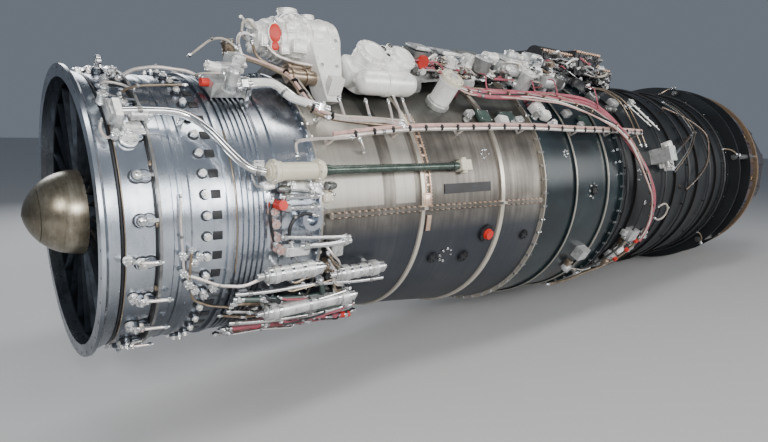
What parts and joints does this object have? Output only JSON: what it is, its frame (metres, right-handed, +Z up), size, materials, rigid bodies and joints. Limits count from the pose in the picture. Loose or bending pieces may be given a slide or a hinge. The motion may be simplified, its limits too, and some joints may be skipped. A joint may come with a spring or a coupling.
{
  "type": "jet engine",
  "caption": "Afterburning two-spool bypass jet engine with nose cone, stepped case, accessories on top, external pipes and a closing nozzle.",
  "frame": {"origin": "centre of the inlet flange's front face, on the engine's axis", "axes": "+X along the axis to the nozzle, +Z up through the accessories, the side in the picture is -Y"},
  "size_m": [5.0644, 1.3129, 1.394],
  "materials": {
    "bright_alloy": "satin",
    "bare_titanium": "satin",
    "nose_paint": "semi-gloss",
    "steel": "polished",
    "duct_composite": "satin",
    "dark_case": "satin",
    "hot_metal": "heat tinted",
    "cast_silver": "matte",
    "cream_paint": "satin",
    "black_paint": "satin",
    "copper_bolts": "satin",
    "red_cover": "matte",
    "pink_hose": "matte",
    "pipe_paint": "satin"
  },
  "bodies": {
    "casing": {"inlet_case": "bright_alloy", "inlet_struts": "bare_titanium", "spinner": "nose_paint", "spinner_cap": "nose_paint", "vane_flaps": "steel", "unison_ring": "dark_case", "fan_case_front": "bright_alloy", "locating_pins": "steel", "fan_case_rear": "bright_alloy", "fan_stators": "bare_titanium", "intermediate_case": "bare_titanium", "core_case": "dark_case", "duct_upper": "duct_composite", "duct_lower": "duct_composite", "rear_duct": "dark_case", "combustor_liner": "hot_metal", "turbine_case": "hot_metal", "exhaust_frame": "hot_metal", "mixer": "hot_metal", "flame_holder": "hot_metal", "afterburner_case": "dark_case", "afterburner_liner": "hot_metal", "nozzle_housing": "dark_case", "bearings": "steel", "flange_bolts": "steel", "split_bolts": "copper_bolts", "accessory_gearbox": "cast_silver", "turbo_starter": "cast_silver", "oil_tank": "cast_silver", "fuel_units": "cream_paint", "control_unit": "black_paint", "vane_actuator": "cream_paint", "steel_pipes": "steel", "clamped_pipe": "pipe_paint", "red_hoses": "pink_hose", "red_caps": "red_cover", "lifting_eye": "steel", "port_covers": "dark_case", "valve_blocks": "cast_silver", "jack_bodies": "steel", "hinge_pins": "steel"},
    "lp_spool": {"lp_shaft": "steel", "fan_rotor": "bare_titanium", "lp_turbine": "hot_metal"},
    "core_spool": {"core_compressor": "bare_titanium", "core_turbine": "hot_metal"},
    "drive_ring": {"nozzle_ring": "bare_titanium", "jack_rods": "steel"},
    "nozzle_flap_01": {"flap_01": "hot_metal"},
    "nozzle_flap_02": {"flap_02": "hot_metal"},
    "nozzle_flap_03": {"flap_03": "hot_metal"},
    "nozzle_flap_04": {"flap_04": "hot_metal"},
    "nozzle_flap_05": {"flap_05": "hot_metal"},
    "nozzle_flap_06": {"flap_06": "hot_metal"},
    "nozzle_flap_07": {"flap_07": "hot_metal"},
    "nozzle_flap_08": {"flap_08": "hot_metal"},
    "nozzle_flap_09": {"flap_09": "hot_metal"},
    "nozzle_flap_10": {"flap_10": "hot_metal"},
    "nozzle_flap_11": {"flap_11": "hot_metal"},
    "nozzle_flap_12": {"flap_12": "hot_metal"}
  },
  "joints": [
    {"name": "lp_spin", "type": "hinge", "parent": "casing", "child": "lp_spool", "pos_m": [0.95, 0, 0], "axis": [1, 0, 0], "continuous": true},
    {"name": "core_spin", "type": "hinge", "parent": "casing", "child": "core_spool", "pos_m": [1.1, 0, 0], "axis": [1, 0, 0], "continuous": true},
    {"name": "nozzle_close", "type": "slide", "parent": "casing", "child": "drive_ring", "axis": [1, 0, 0], "range_m": [0, 0.09]},
    {"name": "flap_01_hinge", "type": "hinge", "parent": "casing", "child": "nozzle_flap_01", "pos_m": [4.3, -0.53, 0], "axis": [0, 0, 1], "range_deg": [0, 9]},
    {"name": "flap_02_hinge", "type": "hinge", "parent": "casing", "child": "nozzle_flap_02", "pos_m": [4.3, -0.45899, 0.265], "axis": [0, 0.5, 0.866], "range_deg": [0, 9]},
    {"name": "flap_03_hinge", "type": "hinge", "parent": "casing", "child": "nozzle_flap_03", "pos_m": [4.3, -0.265, 0.45899], "axis": [0, 0.866, 0.5], "range_deg": [0, 9]},
    {"name": "flap_04_hinge", "type": "hinge", "parent": "casing", "child": "nozzle_flap_04", "pos_m": [4.3, 0, 0.53], "axis": [0, 1, 0], "range_deg": [0, 9]},
    {"name": "flap_05_hinge", "type": "hinge", "parent": "casing", "child": "nozzle_flap_05", "pos_m": [4.3, 0.265, 0.45899], "axis": [0, 0.866, -0.5], "range_deg": [0, 9]},
    {"name": "flap_06_hinge", "type": "hinge", "parent": "casing", "child": "nozzle_flap_06", "pos_m": [4.3, 0.45899, 0.265], "axis": [0, 0.5, -0.866], "range_deg": [0, 9]},
    {"name": "flap_07_hinge", "type": "hinge", "parent": "casing", "child": "nozzle_flap_07", "pos_m": [4.3, 0.53, 0], "axis": [0, 0, -1], "range_deg": [0, 9]},
    {"name": "flap_08_hinge", "type": "hinge", "parent": "casing", "child": "nozzle_flap_08", "pos_m": [4.3, 0.45899, -0.265], "axis": [0, -0.5, -0.866], "range_deg": [0, 9]},
    {"name": "flap_09_hinge", "type": "hinge", "parent": "casing", "child": "nozzle_flap_09", "pos_m": [4.3, 0.265, -0.45899], "axis": [0, -0.866, -0.5], "range_deg": [0, 9]},
    {"name": "flap_10_hinge", "type": "hinge", "parent": "casing", "child": "nozzle_flap_10", "pos_m": [4.3, 0, -0.53], "axis": [0, -1, 0], "range_deg": [0, 9]},
    {"name": "flap_11_hinge", "type": "hinge", "parent": "casing", "child": "nozzle_flap_11", "pos_m": [4.3, -0.265, -0.45899], "axis": [0, -0.866, 0.5], "range_deg": [0, 9]},
    {"name": "flap_12_hinge", "type": "hinge", "parent": "casing", "child": "nozzle_flap_12", "pos_m": [4.3, -0.45899, -0.265], "axis": [0, -0.5, 0.866], "range_deg": [0, 9]}
  ],
  "couplings": [
    {"joint": "flap_01_hinge", "follows": "nozzle_close", "rad_per_m": 1.7453},
    {"joint": "flap_02_hinge", "follows": "nozzle_close", "rad_per_m": 1.7453},
    {"joint": "flap_03_hinge", "follows": "nozzle_close", "rad_per_m": 1.7453},
    {"joint": "flap_04_hinge", "follows": "nozzle_close", "rad_per_m": 1.7453},
    {"joint": "flap_05_hinge", "follows": "nozzle_close", "rad_per_m": 1.7453},
    {"joint": "flap_06_hinge", "follows": "nozzle_close", "rad_per_m": 1.7453},
    {"joint": "flap_07_hinge", "follows": "nozzle_close", "rad_per_m": 1.7453},
    {"joint": "flap_08_hinge", "follows": "nozzle_close", "rad_per_m": 1.7453},
    {"joint": "flap_09_hinge", "follows": "nozzle_close", "rad_per_m": 1.7453},
    {"joint": "flap_10_hinge", "follows": "nozzle_close", "rad_per_m": 1.7453},
    {"joint": "flap_11_hinge", "follows": "nozzle_close", "rad_per_m": 1.7453},
    {"joint": "flap_12_hinge", "follows": "nozzle_close", "rad_per_m": 1.7453}
  ]
}
